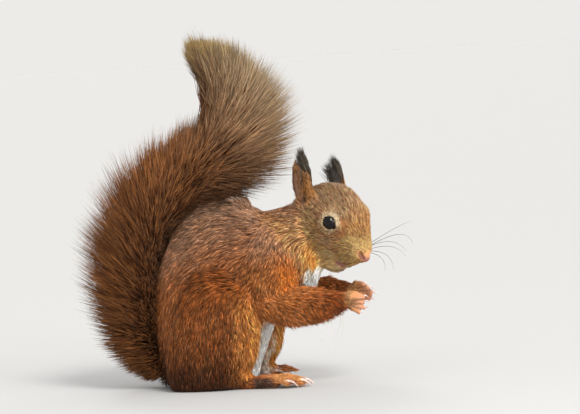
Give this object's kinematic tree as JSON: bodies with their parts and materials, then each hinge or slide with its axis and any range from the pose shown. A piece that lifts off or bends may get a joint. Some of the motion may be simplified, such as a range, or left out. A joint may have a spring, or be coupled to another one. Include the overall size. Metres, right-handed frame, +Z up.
{
  "type": "red squirrel",
  "caption": "Red squirrel sitting on its haunches with its hands raised to its chest, its head turned a little and its bushy tail held in an S up its back.",
  "frame": {"origin": "on the floor that the animal sits on, under the middle of its overall box", "axes": "+Z up, +X the way the body faces, +Y the animal's left"},
  "size_m": [0.1754, 0.082, 0.1972],
  "materials": {
    "coat_back": "short dense fur, grey rust",
    "coat_limb": "short dense fur, rust orange",
    "coat_face": "very short fur, tawny",
    "coat_tail": "long loose hair, dark brown with buff tips",
    "coat_paw": "close short fur over bare skin",
    "ear_tuft": "long fine hair, slate black",
    "bare_skin": "fine grained, slightly moist",
    "eye": "wet gloss"
  },
  "bodies": {
    "root": {"head": "coat_face", "lower_jaw": "coat_face", "nose": "bare_skin", "eye_left": "eye", "ear_left": "coat_face", "ear_tuft_left": "ear_tuft", "eye_right": "eye", "ear_right": "coat_face", "ear_tuft_right": "ear_tuft", "neck": "coat_back", "trunk": "coat_back", "thigh_left": "coat_limb", "foot_left": "coat_paw", "upper_arm_left": "coat_limb", "forearm_left": "coat_limb", "hand_left": "coat_paw", "thigh_right": "coat_limb", "foot_right": "coat_paw", "upper_arm_right": "coat_limb", "forearm_right": "coat_limb", "hand_right": "coat_paw", "tail_base": "coat_tail", "tail_lower": "coat_tail", "tail_upper": "coat_tail", "tail_tip": "coat_tail"}
  },
  "joints": []
}
